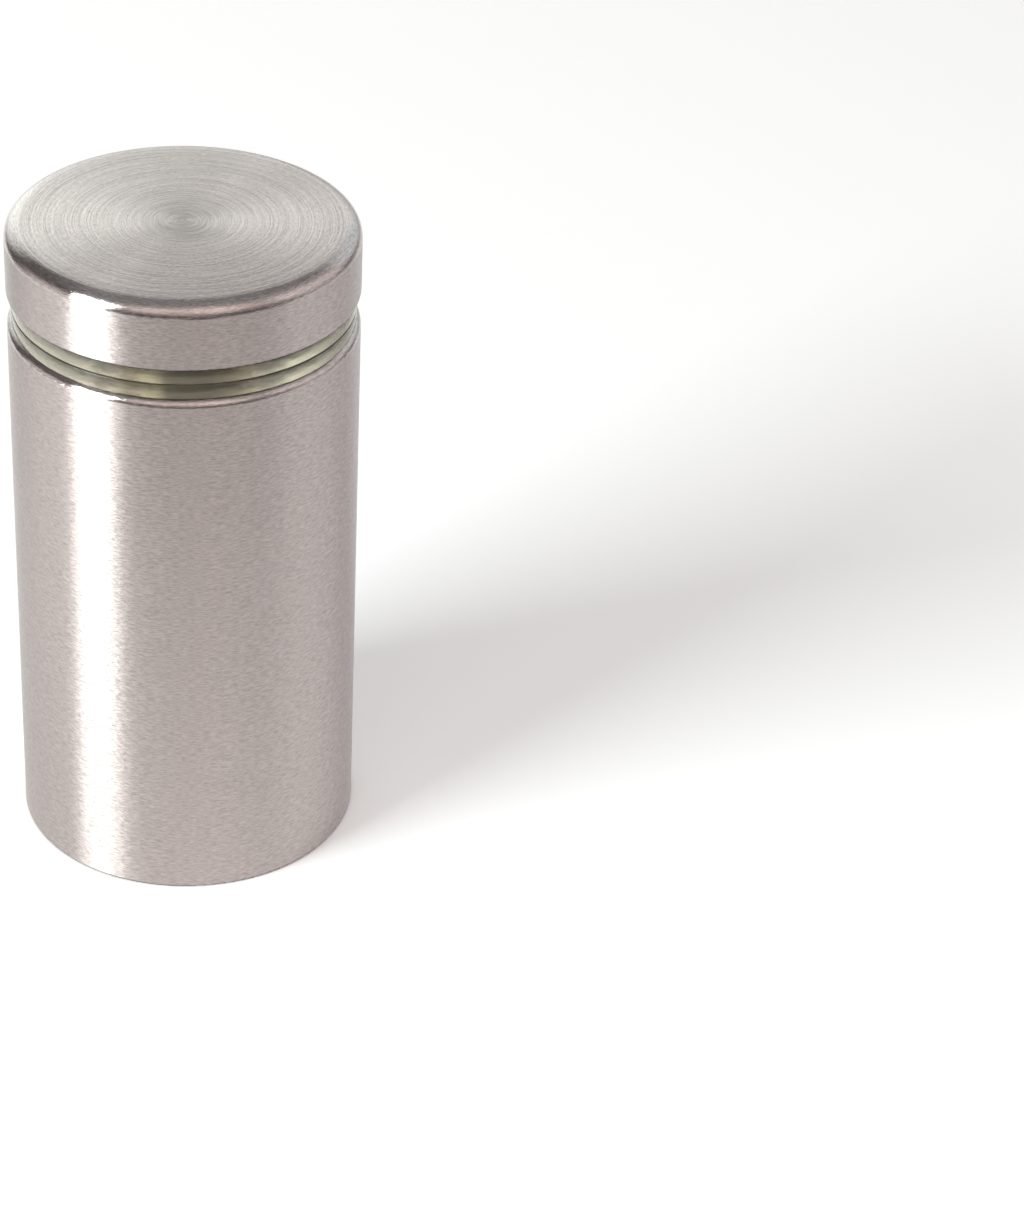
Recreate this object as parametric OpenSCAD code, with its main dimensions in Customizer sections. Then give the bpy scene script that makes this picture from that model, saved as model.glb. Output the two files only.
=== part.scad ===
// Glass panel standoff: a barrel that is screwed to the wall, and a cap whose threaded stud
// screws into the barrel and clamps a drilled panel between two soft washers.
// Origin at the centre of the barrel's wall face, +Z from the wall towards the cap.

/* [Outside] */
// Outside diameter of the barrel and of the cap, which is flush with it
standoff_d = 30; // [22:1:50]
// Length of the barrel, from the wall to the lower washer
barrel_l = 50; // [42:1:100]
// Thickness of the cap
cap_t = 6; // [5.5:0.5:12]

/* [Edges] */
// Radius of the cap's outer edge
cap_edge_r = 1.2; // [0.4:0.1:2.5]
// Radius that breaks the cap's rim on the panel side
cap_rim_r = 0.2; // [0.1:0.05:0.6]
// Radius of the barrel's edge on the panel side
panel_edge_r = 0.7; // [0.1:0.1:1.5]
// Radius that breaks the barrel's edge at the wall
wall_edge_r = 0.2; // [0.1:0.1:1.5]

/* [Washers] */
// Thickness of each washer
washer_t = 1.4; // [0.8:0.05:3]
// How far each washer stays inside the barrel's outside, all round
washer_inset = 0.35; // [0.1:0.05:2]
// Clearance between the stud and a washer's hole, on the radius
washer_play = 0.25; // [0.1:0.05:1]
// Radius of the washers' moulded edges
washer_edge_r = 0.08; // [0.02:0.02:0.3]

/* [Stud thread] */
// Nominal diameter of the thread
thread_d = 10; // [8:1:12]
// Pitch of the thread
thread_pitch = 1.5; // [1:0.25:1.75]
// Play of the stud's thread in its tapped holes, on the radius
thread_play = 0.1; // [0.02:0.01:0.1]
// Length of the stud
stud_l = 25; // [18:1:32]
// How deep the stud is screwed into the cap, where it bottoms
stud_seat = 4.2; // [3:0.1:4.5]
// Width across the flats of the stud's hexagon socket
socket_af = 5; // [3:0.5:5.5]
// Depth of the hexagon socket
socket_depth = 5; // [2:0.5:8]

/* [Barrel bore] */
// Depth of the full thread from the barrel's panel face
tapped_l = 28; // [24:1:32]
// Width of the lead-in chamfer at the mouth of each tapped hole
mouth_chamfer = 0.5; // [0.2:0.1:1]
// Diameter of the hole for the wall screw
screw_hole_d = 4.5; // [3.5:0.5:6]
// Thickness of the barrel's floor below the screw's countersink
floor_t = 2.5; // [1.5:0.5:6]
// Full angle of the countersink
countersink_angle = 90; // [82:1:120]

/* [Hidden] */
$fn = 96;

outer_r = standoff_d / 2;
thread_r = thread_d / 2;
stud_r = thread_r - thread_play;
// A tap drill leaves the pitch less than the thread's diameter
tap_drill_r = (thread_d - thread_pitch) / 2;
screw_hole_r = screw_hole_d / 2;
washer_r = outer_r - washer_inset;
washer_hole_r = thread_r + washer_play;

// The stack, from the wall up
lower_washer_z = barrel_l;
upper_washer_z = lower_washer_z + washer_t;
cap_z = upper_washer_z + washer_t;
stud_z = cap_z + stud_seat - stud_l;

// The bore's steps, from the wall up
countersink_z = floor_t;
well_z = countersink_z + (tap_drill_r - screw_hole_r) / tan(countersink_angle / 2);
thread_end_z = barrel_l - tapped_l;
// The tap's tapered lead leaves a cone of 45 degrees below the last full thread
tap_lead = thread_r - tap_drill_r;

// How far a cutting shape runs past the face that it opens
past = 1;

steel = [0.74, 0.72, 0.70];
zinc_steel = [0.62, 0.63, 0.64];
clear_vinyl = [0.72, 0.71, 0.55];

// Half section of a disc from z = 0 to h, with its outer corners rounded
module disc_section(r, h, low_r, high_r) {
    translate([0, low_r])
        square([r, h - low_r - high_r]);
    square([r - low_r, h / 2]);
    translate([0, h / 2])
        square([r - high_r, h / 2]);
    translate([r - low_r, low_r])
        circle(low_r);
    translate([r - high_r, h - high_r])
        circle(high_r);
}

// Half section of a tapped hole's wall from its mouth at z = 0 down to -depth, with a 45 degree lead-in
module tapped_section(depth) {
    translate([0, -depth])
        square([thread_r, depth + past]);
    polygon([
        [0, -mouth_chamfer],
        [thread_r, -mouth_chamfer],
        [thread_r + mouth_chamfer + past, past],
        [0, past]
    ]);
}

// Half section of the barrel's bore: screw hole, countersink, drilled well and thread
module bore_section() {
    translate([0, -past])
        square([screw_hole_r, well_z + past]);
    polygon([
        [0, countersink_z],
        [screw_hole_r, countersink_z],
        [tap_drill_r, well_z],
        [tap_drill_r, thread_end_z - tap_lead],
        [thread_r, thread_end_z],
        [0, thread_end_z]
    ]);
    translate([0, barrel_l])
        tapped_section(tapped_l);
}

// Turned from bar: drilled and tapped from the panel side, its floor countersunk for the wall screw
module barrel() {
    color(steel)
        rotate_extrude()
            difference() {
                disc_section(outer_r, barrel_l, wall_edge_r, panel_edge_r);
                bore_section();
            }
}

// A soft washer, moulded with rounded edges
module washer(z) {
    color(clear_vinyl)
        translate([0, 0, z])
            rotate_extrude()
                difference() {
                    disc_section(washer_r, washer_t, washer_edge_r, washer_edge_r);
                    translate([0, -past])
                        square([washer_hole_r, washer_t + 2 * past]);
                }
}

// Turned from bar, with a blind tapped hole for the stud in its underside
module cap() {
    color(steel)
        translate([0, 0, cap_z])
            rotate_extrude()
                difference() {
                    disc_section(outer_r, cap_t, cap_rim_r, cap_edge_r);
                    mirror([0, 1])
                        tapped_section(stud_seat);
                }
}

// A set screw that bottoms in the cap, with chamfered ends and its hexagon socket facing the wall
module stud() {
    // The ends are chamfered at 45 degrees down to the root of the thread
    chamfer = stud_r - tap_drill_r;
    color(zinc_steel)
        translate([0, 0, stud_z])
            difference() {
                rotate_extrude()
                    polygon([
                        [0, 0],
                        [stud_r - chamfer, 0],
                        [stud_r, chamfer],
                        [stud_r, stud_l - chamfer],
                        [stud_r - chamfer, stud_l],
                        [0, stud_l]
                    ]);
                translate([0, 0, -past])
                    cylinder(h = socket_depth + past, r = socket_af / sqrt(3), $fn = 6);
            }
}

barrel();
washer(lower_washer_z);  // lower_washer
washer(upper_washer_z);  // upper_washer
cap();
stud();
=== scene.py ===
# Glass panel standoff: a turned steel barrel that is screwed to a wall, and a cap whose stud
# screws into the barrel and clamps a drilled panel between two soft washers.
# Lengths are in metres. The origin is the centre of the barrel's wall face, and +Z runs to the cap.

from math import cos, pi, radians, sin, tan

import bpy
import numpy as np
from mathutils import Matrix, Vector


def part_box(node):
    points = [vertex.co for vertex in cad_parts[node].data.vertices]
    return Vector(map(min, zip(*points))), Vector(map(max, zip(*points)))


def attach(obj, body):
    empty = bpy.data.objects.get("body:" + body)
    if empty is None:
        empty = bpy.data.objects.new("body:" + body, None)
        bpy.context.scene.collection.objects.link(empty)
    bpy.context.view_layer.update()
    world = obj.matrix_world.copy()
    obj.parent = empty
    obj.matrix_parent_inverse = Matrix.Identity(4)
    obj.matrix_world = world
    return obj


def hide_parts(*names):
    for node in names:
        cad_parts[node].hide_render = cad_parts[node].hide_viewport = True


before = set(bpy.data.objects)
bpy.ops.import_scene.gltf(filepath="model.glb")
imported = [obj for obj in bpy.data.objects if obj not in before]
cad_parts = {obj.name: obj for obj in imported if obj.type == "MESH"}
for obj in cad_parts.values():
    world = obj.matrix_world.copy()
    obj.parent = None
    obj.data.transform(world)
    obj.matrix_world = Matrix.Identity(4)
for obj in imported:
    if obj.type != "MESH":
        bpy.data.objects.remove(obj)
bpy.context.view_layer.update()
MM = 0.001


# ---- Camera ---------------------------------------------------------------------------------
# A long lens looks down on the standoff from in front. It is turned a little to the right of the
# standoff, which so stands at the left of the view, and it is held at a slight tilt.

camera_place = Vector((0, -0.26637, 0.19676))
look_down, turn_right, tilt = radians(33.40), radians(6.26), radians(2.90)

camera = bpy.data.objects.new("camera", bpy.data.cameras.new("camera"))
camera.data.lens = 105.93
camera.data.clip_start = 0.01
camera.matrix_world = (
    Matrix.Translation(camera_place)
    @ Matrix.Rotation(-turn_right, 4, "Z")
    @ Matrix.Rotation(pi / 2 - look_down, 4, "X")
    @ Matrix.Rotation(tilt, 4, "Z")
)
bpy.context.collection.objects.link(camera)
bpy.context.scene.camera = camera
bpy.context.scene.view_settings.view_transform = "Standard"


# ---- Studio: floor, surroundings and lamps ----------------------------------------------------
# The standoff stands on a sheet of white paper in a dim room. A bright soft lamp stands at the front
# left, a weaker one under it lights the foot, and pale cards stand round the sheet.


def shader_node(tree, kind, inputs=None, **settings):
    """Adds a node with its settings. Each input takes a value, or another node's output."""
    made = tree.nodes.new("ShaderNode" + kind)
    for name, value in settings.items():
        setattr(made, name, value)
    for name, value in (inputs or {}).items():
        if isinstance(value, bpy.types.NodeSocket):
            tree.links.new(value, made.inputs[name])
        else:
            made.inputs[name].default_value = value
    return made


def new_material(name):
    """An empty material, its node tree and its output node."""
    made = bpy.data.materials.new(name)
    made.use_nodes = True
    made.node_tree.nodes.clear()
    return made, made.node_tree, made.node_tree.nodes.new("ShaderNodeOutputMaterial")


def math_node(tree, operation, a, b=0.0):
    """The output of one Math node."""
    return shader_node(tree, "Math", {0: a, 1: b}, operation=operation).outputs[0]


def smooth_step(tree, value, low, high):
    """Rises smoothly from 0 at low to 1 at high."""
    return shader_node(
        tree,
        "MapRange",
        {"Value": value, "From Min": low, "From Max": high},
        interpolation_type="SMOOTHSTEP",
    ).outputs[0]


def mix_colors(tree, factor, a, b, **settings):
    """The color of one Mix node, which goes from a to b with the factor."""
    return shader_node(
        tree, "Mix", {"Factor": factor, 6: a, 7: b}, data_type="RGBA", **settings
    ).outputs[2]


def seen_directly(tree):
    """1 for rays from the camera and for rays in a reflection or through a clear material, else 0."""
    path = shader_node(tree, "LightPath").outputs
    glossy = math_node(tree, "MAXIMUM", path["Is Camera Ray"], path["Is Glossy Ray"])
    return math_node(tree, "MAXIMUM", glossy, path["Is Transmission Ray"])


# The sheet is small, so that the steel also shows the dim room beyond its edges
paper_left, paper_right, paper_front, paper_back = 0.17, 0.30, 0.108, 0.45
floor_mesh = bpy.data.meshes.new("floor")
floor_mesh.from_pydata(
    [
        (-paper_left, -paper_front, 0),
        (paper_right, -paper_front, 0),
        (paper_right, paper_back, 0),
        (-paper_left, paper_back, 0),
    ],
    [],
    [(0, 1, 2, 3)],
)
floor = bpy.data.objects.new("floor", floor_mesh)
bpy.context.collection.objects.link(floor)

# The paper is a shade brighter where it is seen than in the light it gives. Towards the left a brighter
# pool of light is painted on it, and the steel shows that painted light in its reflections
LIGHT_GIVEN = (0.79, 0.80, 0.815, 1)
SEEN_RIGHT = (1.09, 1.10, 1.115, 1)
PAINTED_POOL_LEFT = (1.28, 1.28, 1.29, 1)
WHITE = (1, 1, 1, 1)
right_end, left_end = -0.012, -0.07
paper_glow = 0.08

paper, tree, out = new_material("white_paper")
lit = shader_node(tree, "BsdfDiffuse", {"Color": LIGHT_GIVEN})
across = shader_node(
    tree, "SeparateXYZ", {0: shader_node(tree, "TexCoord").outputs["Object"]}
).outputs["X"]
# The painted pool of light: the paper's white grows brighter from right_end to left_end, the side where
# the key lamp stands
paper_white_and_painted_pool = mix_colors(tree, smooth_step(tree, across, right_end, left_end), SEEN_RIGHT, PAINTED_POOL_LEFT)
brighter = shader_node(tree, "BsdfDiffuse", {"Color": paper_white_and_painted_pool})
lift = shader_node(tree, "Emission", {"Color": WHITE, "Strength": paper_glow})
both = shader_node(tree, "AddShader", {0: brighter.outputs[0], 1: lift.outputs[0]})
mixed = shader_node(
    tree, "MixShader", {0: seen_directly(tree), 1: lit.outputs[0], 2: both.outputs[0]}
)
tree.links.new(mixed.outputs[0], out.inputs["Surface"])
floor.data.materials.append(paper)

# The surroundings, as soft round cards in a dim room. Each has its azimuth, which is 0 in front
# and grows to the right, its elevation, how far it reaches to every side, and its colour
DIM_ROOM = (0.16, 0.15, 0.15, 1)
CARDS = (
    (-178, 11, 33, (0.67, 0.68, 0.645)),
    (145, 20, 30, (0.66, 0.735, 0.75)),
    (-161, 14, 32, (1.02, 1.13, 1.11)),
    (-85, -15, 42, (0.95, 0.91, 0.88)),
    (-45, 30, 36, (0.55, 0.52, 0.50)),
    (5, 36, 42, (0.72, 0.61, 0.56)),
    (45, 36, 42, (0.36, 0.32, 0.30)),
    (92, 22, 42, (0.70, 0.66, 0.65)),
    (0, 90, 55, (0.16, 0.18, 0.18)),
)


def towards(azimuth, elevation):
    """The direction of a lamp or a card from the standoff."""
    a, e = radians(azimuth), radians(elevation)
    return Vector((sin(a) * cos(e), -cos(a) * cos(e), sin(e)))


world = bpy.data.worlds.new("studio")
world.use_nodes = True
bpy.context.scene.world = world
tree = world.node_tree
tree.nodes.clear()
out = tree.nodes.new("ShaderNodeOutputWorld")
way = shader_node(tree, "TexCoord").outputs["Generated"]
room = DIM_ROOM
for azimuth, elevation, reach, color in CARDS:
    facing = shader_node(
        tree, "VectorMath", {0: way, 1: towards(azimuth, elevation)}, operation="DOT_PRODUCT"
    ).outputs["Value"]
    near = smooth_step(tree, facing, cos(radians(reach)), 1)
    room = mix_colors(tree, near, room, (*color, 1), blend_type="ADD")
seen = shader_node(tree, "LightPath").outputs["Is Camera Ray"]
shown = mix_colors(tree, seen, room, WHITE)
tree.links.new(shader_node(tree, "Background", {"Color": shown}).outputs[0], out.inputs["Surface"])


LAMP_DISTANCE, LAMP_AZIMUTH, LAMP_WIDE = 0.65, -59.3, 25.5
LAMP_AIM = Vector((0, 0, 0.03))


def soft_lamp(name, elevation, high, radiance, color):
    """A rectangular lamp aimed at the standoff's middle, from which it is LAMP_WIDE degrees wide and
    high degrees high. Its power is pi times its area times its radiance."""
    made = bpy.data.objects.new(name, bpy.data.lights.new(name, "AREA"))
    made.data.shape = "RECTANGLE"
    made.data.size = 2 * LAMP_DISTANCE * tan(radians(LAMP_WIDE / 2))
    made.data.size_y = 2 * LAMP_DISTANCE * tan(radians(high / 2))
    made.data.energy = pi * made.data.size * made.data.size_y * radiance
    made.data.color = color
    away = towards(LAMP_AZIMUTH, elevation)
    made.location = LAMP_AIM + LAMP_DISTANCE * away
    made.rotation_euler = away.to_track_quat("Z", "Y").to_euler()
    bpy.context.collection.objects.link(made)


soft_lamp("key", elevation=27, high=10, radiance=33.6, color=(0.94, 1.0, 0.97))
soft_lamp("key_foot", elevation=4, high=28, radiance=3.2, color=(0.94, 0.97, 1.0))


# ---- Barrel -----------------------------------------------------------------------------------
# A solid bar of stainless steel, turned and then brushed on the lathe, so that fine lines run
# round it. It is drilled and tapped from the panel side, and a wall screw holds its floor.

STEEL = (0.567, 0.508, 0.493)
SIDE_ROUGH, EDGE_ROUGH, FACE_ROUGH = 0.36, 0.12, 0.20

# By the upright share of its normal, a point leaves a side, nears a face, is on it, or is on an edge
OFF_SIDE, NEAR_FACE, ON_FACE, ON_EDGE = (0.02, 0.2), (0.8, 1), (0.97, 0.9995), (0.6, 0.35)

# How deep the lines look, what share of them are long rings, and the shade of the darkest and of
# the lightest line
SIDE_DEPTH, EDGE_DEPTH, FACE_DEPTH = 0.42, 0.30, 0.5
SIDE_RINGS, FACE_RINGS = 0.12, 0.57
SIDE_DARKEST, FACE_DARKEST = 0.70, 0.57
SIDE_LIGHTEST, FACE_LIGHTEST = 1.16, 1.18
LINE_BUMP = 0.07 * MM

# The noise's values that make the darkest and the lightest line, and those over which the
# roughness varies by a share on both sides
LINE_NOISE, ROUGH_NOISE, ROUGH_SHARES = (0.32, 0.64), (0.3, 0.7), (0.88, 1.12)

# A face's normal leans outwards with the radius, and more between two radii at its rim
FACE_CROWN = 0.003
RIM_LEAN, RIM_RADII = 0.2, (13.1, 14.3)

# How much darker the middle of a face is, between two radii, and how much light a rounded edge loses to
# its painted shade
MIDDLE_LOSS, MIDDLE_RADII = 0.2, (5.5, 0.5)
EDGE_PAINTED_SHADE = 0.14

# A painted shade at the foot of a side: its least light, and the heights over which the light comes back
PAINTED_FOOT_LIGHT, FOOT_LOW, FOOT_HIGH = 0.12, 0.08, 0.24


def lathe_lines(tree):
    """The place of a point on a turned piece, in millimetres: how far it is along the profile, as its
    radius less its height, its direction from the axis as a unit vector, its radius and height."""
    place = shader_node(tree, "TexCoord").outputs["Object"]
    in_mm = shader_node(
        tree, "VectorMath", {0: place, "Scale": 1 / MM}, operation="SCALE"
    ).outputs[0]
    flat = shader_node(
        tree, "VectorMath", {0: in_mm, 1: (1, 1, 0)}, operation="MULTIPLY"
    ).outputs[0]
    radius = shader_node(tree, "VectorMath", {0: flat}, operation="LENGTH").outputs["Value"]
    height = shader_node(tree, "SeparateXYZ", {0: in_mm}).outputs["Z"]
    from_axis = shader_node(tree, "VectorMath", {0: flat}, operation="NORMALIZE").outputs[0]
    return math_node(tree, "SUBTRACT", radius, height), from_axis, radius, height


def brush_noise(tree, along, from_axis, lines_per_mm, arcs, detail, roughness):
    """Noise that is fine across the brush lines and long round the axis: its point is the place
    along the profile, and the direction from the axis scaled by the number of arcs."""
    stretched = shader_node(
        tree, "VectorMath", {0: from_axis, "Scale": arcs}, operation="SCALE"
    ).outputs[0]
    turned = shader_node(tree, "SeparateXYZ", {0: stretched}).outputs
    point = shader_node(
        tree,
        "CombineXYZ",
        {
            "X": math_node(tree, "MULTIPLY", along, lines_per_mm),
            "Y": turned["X"],
            "Z": turned["Y"],
        },
    ).outputs[0]
    return shader_node(
        tree,
        "TexNoise",
        {"Vector": point, "Scale": 1.0, "Detail": detail, "Roughness": roughness},
    ).outputs["Fac"]


def blend(tree, factor, a, b):
    """The value of one Mix node, which goes from a to b with the factor."""
    return shader_node(tree, "Mix", {"Factor": factor, 2: a, 3: b}).outputs[0]


def spread(tree, value, low, high, to_low, to_high):
    """Carries the values from low to high over to those from to_low to to_high."""
    ends = {"Value": value, "From Min": low, "From Max": high, "To Min": to_low, "To Max": to_high}
    return shader_node(tree, "MapRange", ends).outputs[0]


def lean_outwards(tree, from_axis, lean):
    """The normal, leant away from the axis by lean times the unit vector from the axis."""
    outwards = shader_node(
        tree,
        "VectorTransform",
        {0: from_axis},
        vector_type="VECTOR",
        convert_from="OBJECT",
        convert_to="WORLD",
    ).outputs[0]
    leaning = shader_node(
        tree,
        "VectorMath",
        {0: outwards, 1: lean, 2: shader_node(tree, "NewGeometry").outputs["Normal"]},
        operation="MULTIPLY_ADD",
    ).outputs[0]
    return shader_node(tree, "VectorMath", {0: leaning}, operation="NORMALIZE").outputs[0]


def lathe_steel(name, foot):
    """Turned and brushed steel. Its lines run round the axis, so a light is drawn out along the profile.
    A side has short fine lines from the brush, and a face has long rings from the tool too, and a darker
    middle. The rounded edges, where the normal is neither level nor upright, are smoother, and a painted
    shade darkens their reflections. The lowest fifth of a millimetre of a side, above the foot, where it
    turns under, has a painted shade: the contact shadow at the barrel's foot and the shade under the
    cap's rim."""
    made, tree, out = new_material(name)
    along, from_axis, radius, height = lathe_lines(tree)
    normal = shader_node(tree, "TexCoord").outputs["Normal"]
    upright = math_node(tree, "ABSOLUTE", shader_node(tree, "SeparateXYZ", {0: normal}).outputs["Z"])
    off_side = smooth_step(tree, upright, *OFF_SIDE)
    on_face = smooth_step(tree, upright, *ON_FACE)

    brushed = brush_noise(tree, along, from_axis, lines_per_mm=9, arcs=24, detail=2, roughness=0.65)
    rings = brush_noise(tree, along, from_axis, lines_per_mm=8, arcs=0.8, detail=3, roughness=0.7)
    lines = blend(tree, blend(tree, on_face, SIDE_RINGS, FACE_RINGS), brushed, rings)
    off_edge = blend(tree, off_side, SIDE_DEPTH, EDGE_DEPTH)
    depth = blend(tree, on_face, off_edge, FACE_DEPTH)

    near_rim = smooth_step(tree, radius, *RIM_RADII)
    rim_lean = math_node(tree, "MULTIPLY", near_rim, RIM_LEAN)
    crown = math_node(tree, "MULTIPLY", radius, FACE_CROWN)
    near_face = smooth_step(tree, upright, *NEAR_FACE)
    lean = math_node(tree, "MULTIPLY", math_node(tree, "ADD", rim_lean, crown), near_face)
    bump = shader_node(
        tree,
        "Bump",
        {
            "Height": lines,
            "Strength": depth,
            "Distance": LINE_BUMP,
            "Normal": lean_outwards(tree, from_axis, lean),
        },
    )

    side_or_edge = blend(tree, off_side, SIDE_ROUGH, EDGE_ROUGH)
    plain = blend(tree, on_face, side_or_edge, FACE_ROUGH)
    uneven = spread(tree, lines, *ROUGH_NOISE, *ROUGH_SHARES)

    darkest = blend(tree, on_face, SIDE_DARKEST, FACE_DARKEST)
    lightest = blend(tree, on_face, SIDE_LIGHTEST, FACE_LIGHTEST)
    shade = spread(tree, lines, *LINE_NOISE, darkest, lightest)
    middle = math_node(tree, "MULTIPLY", on_face, smooth_step(tree, radius, *MIDDLE_RADII))
    # The painted shade at the foot: dark below FOOT_LOW above the foot, light again from FOOT_HIGH, and
    # never on a face
    above_foot = smooth_step(tree, height, foot + FOOT_LOW, foot + FOOT_HIGH)
    open_side = math_node(tree, "MAXIMUM", above_foot, on_face)
    # A painted shade on the rounded edges, which darkens the reflections they show
    edge = math_node(tree, "MULTIPLY", off_side, smooth_step(tree, upright, *ON_EDGE))
    light = math_node(tree, "SUBTRACT", open_side, math_node(tree, "MULTIPLY", middle, MIDDLE_LOSS))
    light = math_node(tree, "SUBTRACT", light, math_node(tree, "MULTIPLY", edge, EDGE_PAINTED_SHADE))
    # The line tones are darkened by the painted shade of the foot and the rounded edges, and by the
    # darker middle
    shade = math_node(tree, "MULTIPLY", shade, math_node(tree, "MAXIMUM", light, PAINTED_FOOT_LIGHT))
    color = shader_node(
        tree, "VectorMath", {0: STEEL, "Scale": shade}, operation="SCALE"
    ).outputs[0]

    steel = shader_node(
        tree,
        "BsdfPrincipled",
        {
            "Base Color": color,
            "Metallic": 1.0,
            "Roughness": math_node(tree, "MULTIPLY", plain, uneven),
            "Anisotropic": 1.0,
            "Anisotropic Rotation": 0.25,
            "Tangent": shader_node(tree, "Tangent", direction_type="RADIAL", axis="Z").outputs[0],
            "Normal": bump.outputs[0],
        },
    )
    tree.links.new(steel.outputs[0], out.inputs["Surface"])
    return made


def finish_node(name, material):
    """Gives a CAD node's object its material."""
    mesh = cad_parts[name].data
    mesh.materials.clear()
    mesh.materials.append(material)


finish_node("barrel", lathe_steel("brushed_barrel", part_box("barrel")[0].z / MM))

# The barrel's own thread: a ridge that winds up its tapped bore, which the stud's thread runs in. A
# metric ridge is an eighth of a pitch wide at its crest, so its half is a sixteenth
PITCH, THREAD_R = 1.5 * MM, 5.0 * MM
HALF_CREST = PITCH / 16
FLANK = tan(radians(30))
FLANK_PLAY = 0.03 * MM
NUT_CREST_R = 4.19 * MM
NUT_ROOT_R = THREAD_R + 0.01 * MM
STEPS_A_TURN = 60
THREAD_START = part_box("stud")[0].z
THREAD_DEPTH, THREAD_MOUTH = 27 * MM, 1.2 * MM
SMOOTH_BELOW = radians(32)


def skin(name, grid, ring=False, poles=()):
    """Makes a mesh from a grid of points, as rows of columns. The columns close round into a loop.
    The rows close too where ring is set. With two poles, a fan joins the first to the first row and
    the second to the last row. The faces look to the left of the way from a row to the next."""
    rows, columns = grid.shape[:2]
    at = np.arange(rows * columns).reshape(rows, columns)
    low, high = (at, np.roll(at, -1, 0)) if ring else (at[:-1], at[1:])
    faces = np.stack([low, np.roll(low, -1, 1), np.roll(high, -1, 1), high], -1).reshape(-1, 4).tolist()
    points = grid.reshape(-1, 3)
    if len(poles):
        points = np.vstack([points, poles])
        first = np.full(columns, rows * columns)
        faces += np.stack([first, np.roll(at[0], -1), at[0]], -1).tolist()
        faces += np.stack([first + 1, at[-1], np.roll(at[-1], -1)], -1).tolist()
    mesh = bpy.data.meshes.new(name)
    mesh.from_pydata(points.tolist(), [], faces)
    mesh.shade_smooth()
    mesh.set_sharp_from_angle(angle=SMOOTH_BELOW)
    made = bpy.data.objects.new(name, mesh)
    bpy.context.collection.objects.link(made)
    return made


def nut_thread(name, low, high):
    """A ridge on the wall of a tapped hole. Its section is a trapezium whose half width at radius r
    is half a pitch less the bolt ridge's own half width there. It climbs a pitch a turn, halfway
    between the bolt's ridges, and fades into the wall over half a turn at each end."""
    count = int((high - low) / PITCH * STEPS_A_TURN)
    turn = np.arange(count) / STEPS_A_TURN
    start = np.ceil((low - THREAD_START) / PITCH) - (low - THREAD_START) / PITCH
    turn = turn + 0.5 - start
    least_fade = 0.02
    fade = np.clip(2 * np.minimum(turn - turn[0], turn[-1] - turn), least_fade, 1)
    crest_r = NUT_ROOT_R - (NUT_ROOT_R - NUT_CREST_R) * fade
    half_wall = PITCH / 2 - HALF_CREST - (THREAD_R - NUT_ROOT_R) * FLANK - FLANK_PLAY
    half_crest = PITCH / 2 - HALF_CREST - (THREAD_R - crest_r) * FLANK - FLANK_PLAY
    middle = low + (turn - turn[0]) * PITCH
    angle = 2 * pi * ((middle - THREAD_START) / PITCH - 0.5)
    wall_r = np.full(count, NUT_ROOT_R)
    radii = np.stack([crest_r, crest_r, wall_r, wall_r], 1)
    lifts = np.stack([-half_crest, half_crest, np.full(count, half_wall), np.full(count, -half_wall)], 1)
    grid = np.stack(
        [
            radii * np.cos(angle)[:, None],
            radii * np.sin(angle)[:, None],
            middle[:, None] + lifts,
        ],
        -1,
    )
    return skin(name, grid, poles=(grid[0].mean(0), grid[-1].mean(0)))


barrel_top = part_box("barrel")[1].z
barrel_thread = nut_thread("barrel_thread", barrel_top - THREAD_DEPTH, barrel_top - THREAD_MOUTH)
barrel_thread.data.materials.append(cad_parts["barrel"].data.materials[0])
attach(barrel_thread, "barrel")


# ---- Washers ----------------------------------------------------------------------------------
# Two soft discs of clear vinyl, punched from sheet, that keep the steel off the panel. The upper one
# isn't quite flat: it lifts by less than a tenth of a millimetre on the left.

WASHER_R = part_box("lower_washer")[1].x
WASHER_HOLE_R = 5.25 * MM
WASHER_T = 1.34 * MM
WASHER_CORNER = 0.10 * MM
WASHER_WAVE = 0.02 * MM
WASHER_COLUMNS, CORNER_POINTS = 192, 4


def washer(name, node, base, lift, phase):
    """A disc with a hole, as a rounded rectangle carried round the axis. Its base stands at a
    height of base, plus lift times half of one less the cosine of the angle, and the outside waves
    by a fiftieth of a millimetre."""
    quarter = np.linspace(0, pi / 2, CORNER_POINTS)
    corner = np.concatenate([quarter + k * pi / 2 for k in range(4)])
    out_side = np.repeat([1, 0, 0, 1], CORNER_POINTS)
    up_side = np.repeat([1, 1, 0, 0], CORNER_POINTS)
    turn = np.linspace(0, 2 * pi, WASHER_COLUMNS, endpoint=False)
    outer = WASHER_R - WASHER_WAVE * (1 + np.sin(3 * turn + phase) * np.cos(turn - phase))
    inner = np.full_like(turn, WASHER_HOLE_R)
    edge_r = np.where(out_side[:, None], outer - WASHER_CORNER, inner + WASHER_CORNER)
    edge_z = np.where(up_side, WASHER_T - WASHER_CORNER, WASHER_CORNER)
    r = edge_r + WASHER_CORNER * np.cos(corner)[:, None]
    z = base + lift * (1 - np.cos(turn)) / 2 + (edge_z + WASHER_CORNER * np.sin(corner))[:, None]
    made = skin(name, np.stack([r * np.cos(turn), r * np.sin(turn), z], -1), ring=True)
    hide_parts(node)
    return made


# The vinyl is slightly cloudy: each value goes from the first to the second with the cloud
THICK_VINYL = (0.96, 0.865, 0.60, 1)
THIN_VINYL = (1.0, 0.935, 0.77, 1)
VINYL_ROUGH, VINYL_ROUGHER = 0.08, 0.24
VINYL_BUMP = 0.03 * MM

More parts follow.
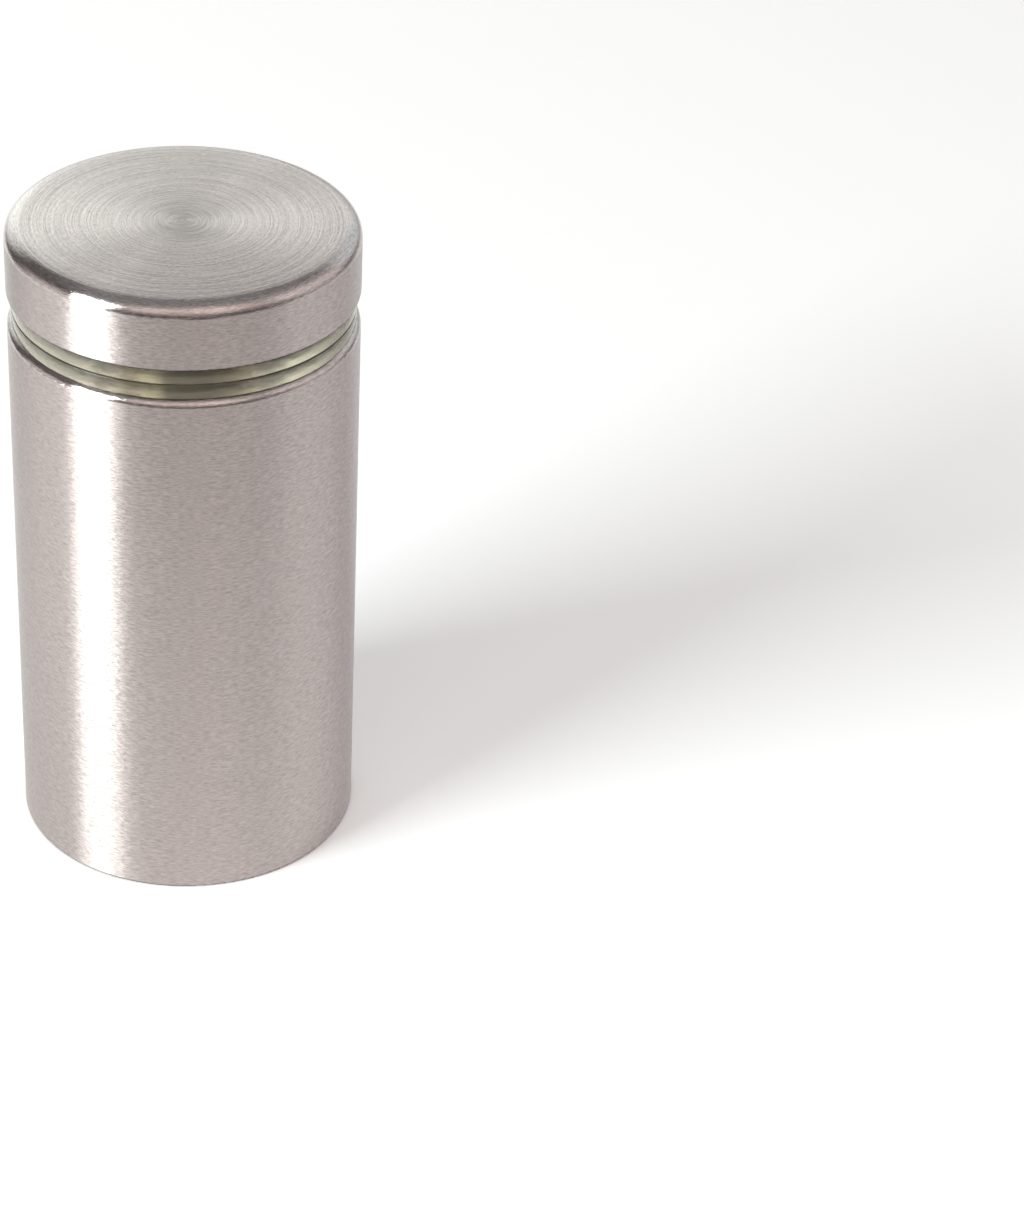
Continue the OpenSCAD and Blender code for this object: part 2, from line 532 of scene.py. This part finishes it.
vinyl, tree, out = new_material("clear_vinyl")
place = shader_node(tree, "TexCoord").outputs["Object"]
cloud = shader_node(tree, "TexNoise", {"Vector": place, "Scale": 900.0, "Detail": 3.0}).outputs["Fac"]
soft = shader_node(
    tree,
    "BsdfPrincipled",
    {
        "Base Color": mix_colors(tree, cloud, THICK_VINYL, THIN_VINYL),
        "Roughness": blend(tree, cloud, VINYL_ROUGH, VINYL_ROUGHER),
        "Normal": shader_node(tree, "Bump", {"Height": cloud, "Distance": VINYL_BUMP}).outputs[0],
        "Transmission Weight": 0.95,
        "IOR": 1.5,
    },
)
tree.links.new(soft.outputs[0], out.inputs["Surface"])

# The discs are a little thinner than their places. Each stands above its lowest place by a share of
# the room that is left, and the upper one's lift takes another share
LOWER_SHARE, UPPER_SHARE, LIFT_SHARE = 0.15, 0.3, 0.55
lower_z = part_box("lower_washer")[0].z
upper_z = lower_z + WASHER_T
room_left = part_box("upper_washer")[1].z - upper_z - WASHER_T
lower_base = lower_z + LOWER_SHARE * room_left
upper_base = upper_z + UPPER_SHARE * room_left
upper_lift = LIFT_SHARE * room_left
lower_washer = washer("lower_vinyl_washer", "lower_washer", lower_base, lift=0, phase=0.4)
upper_washer = washer("upper_vinyl_washer", "upper_washer", upper_base, upper_lift, phase=2.1)
for made, body in ((lower_washer, "barrel"), (upper_washer, "upper_washer")):
    made.data.materials.append(vinyl)
    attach(made, body)


# ---- Stud -------------------------------------------------------------------------------------
# A zinc-plated M10 set screw with a hexagon socket in its lower end. Its rolled thread has
# flat crests and roots, and both ends are chamfered down to the root.

STUD_LOW, STUD_HIGH = (corner.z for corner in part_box("stud"))
CREST_R, ROOT_R = 4.92 * MM, 4.08 * MM
END_EDGE = 0.02 * MM
SOCKET_HALF, SOCKET_DEPTH, SOCKET_CHAMFER = 2.5 * MM, 5 * MM, 0.15 * MM
DRILL_POINT = 0.8 * MM
COLUMNS, ROWS_A_PITCH = 96, 24


def bolt_radius(turn, z):
    """The thread's radius at an angle and a height. Two flanks, 60 degrees apart, fall away from the
    ridge's middle, and the radius is held between the root and the crest. The middle climbs a pitch a
    turn."""
    phase = (z - THREAD_START) / PITCH - turn / (2 * pi)
    from_ridge = PITCH * np.abs(phase - np.round(phase))
    flank_r = THREAD_R - (from_ridge + FLANK_PLAY - HALF_CREST) / FLANK
    return np.clip(flank_r, ROOT_R, CREST_R)


# The hexagon's radius is half its width over the cosine of the angle from the middle of a flat
turn = np.linspace(0, 2 * pi, COLUMNS, endpoint=False)
hexagon = SOCKET_HALF / np.cos((turn + pi / 6) % (pi / 3) - pi / 6)
heights = np.linspace(STUD_LOW, STUD_HIGH, int((STUD_HIGH - STUD_LOW) / PITCH * ROWS_A_PITCH))
end_r = ROOT_R + END_EDGE + np.minimum(heights - STUD_LOW, STUD_HIGH - heights)
thread_r = np.minimum(bolt_radius(turn, heights[:, None]), end_r[:, None])
socket_rows = [
    (hexagon, STUD_LOW + SOCKET_DEPTH),
    (hexagon, STUD_LOW + SOCKET_CHAMFER),
    (hexagon + SOCKET_CHAMFER, STUD_LOW),
]
radii = np.vstack([row[0] for row in socket_rows] + [thread_r])
levels = np.concatenate([[row[1] for row in socket_rows], heights])
grid = np.stack([radii * np.cos(turn), radii * np.sin(turn), np.repeat(levels[:, None], COLUMNS, 1)], -1)
socket_end = (0, 0, STUD_LOW + SOCKET_DEPTH + DRILL_POINT)
threaded_stud = skin("threaded_stud", grid, poles=(socket_end, (0, 0, STUD_HIGH)))

ZINC = (0.80, 0.81, 0.80, 1)
ZINC_BUMP = 0.01 * MM

zinc, tree, out = new_material("zinc_plate")
place = shader_node(tree, "TexCoord").outputs["Object"]
grains = shader_node(tree, "TexNoise", {"Vector": place, "Scale": 2500.0, "Detail": 3.0}).outputs["Fac"]
plate = shader_node(
    tree,
    "BsdfPrincipled",
    {
        "Base Color": ZINC,
        "Metallic": 1.0,
        "Roughness": 0.24,
        "Normal": shader_node(tree, "Bump", {"Height": grains, "Distance": ZINC_BUMP}).outputs[0],
    },
)
tree.links.new(plate.outputs[0], out.inputs["Surface"])
threaded_stud.data.materials.append(zinc)
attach(threaded_stud, "cap")
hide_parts("stud")


# ---- Cap --------------------------------------------------------------------------------------
# Turned from the same bar as the barrel and flush with it. Its face is finished with a tool that
# leaves rings, its edge is rounded, and a blind tapped hole in its underside holds the stud.

CAP_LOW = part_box("cap")[0].z
CAP_THREAD_MOUTH, CAP_THREAD_END = 1.0 * MM, 0.9 * MM

finish_node("cap", lathe_steel("brushed_cap", CAP_LOW / MM))
cap_thread = nut_thread("cap_thread", CAP_LOW + CAP_THREAD_MOUTH, STUD_HIGH - CAP_THREAD_END)
cap_thread.data.materials.append(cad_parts["cap"].data.materials[0])
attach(cap_thread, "cap")
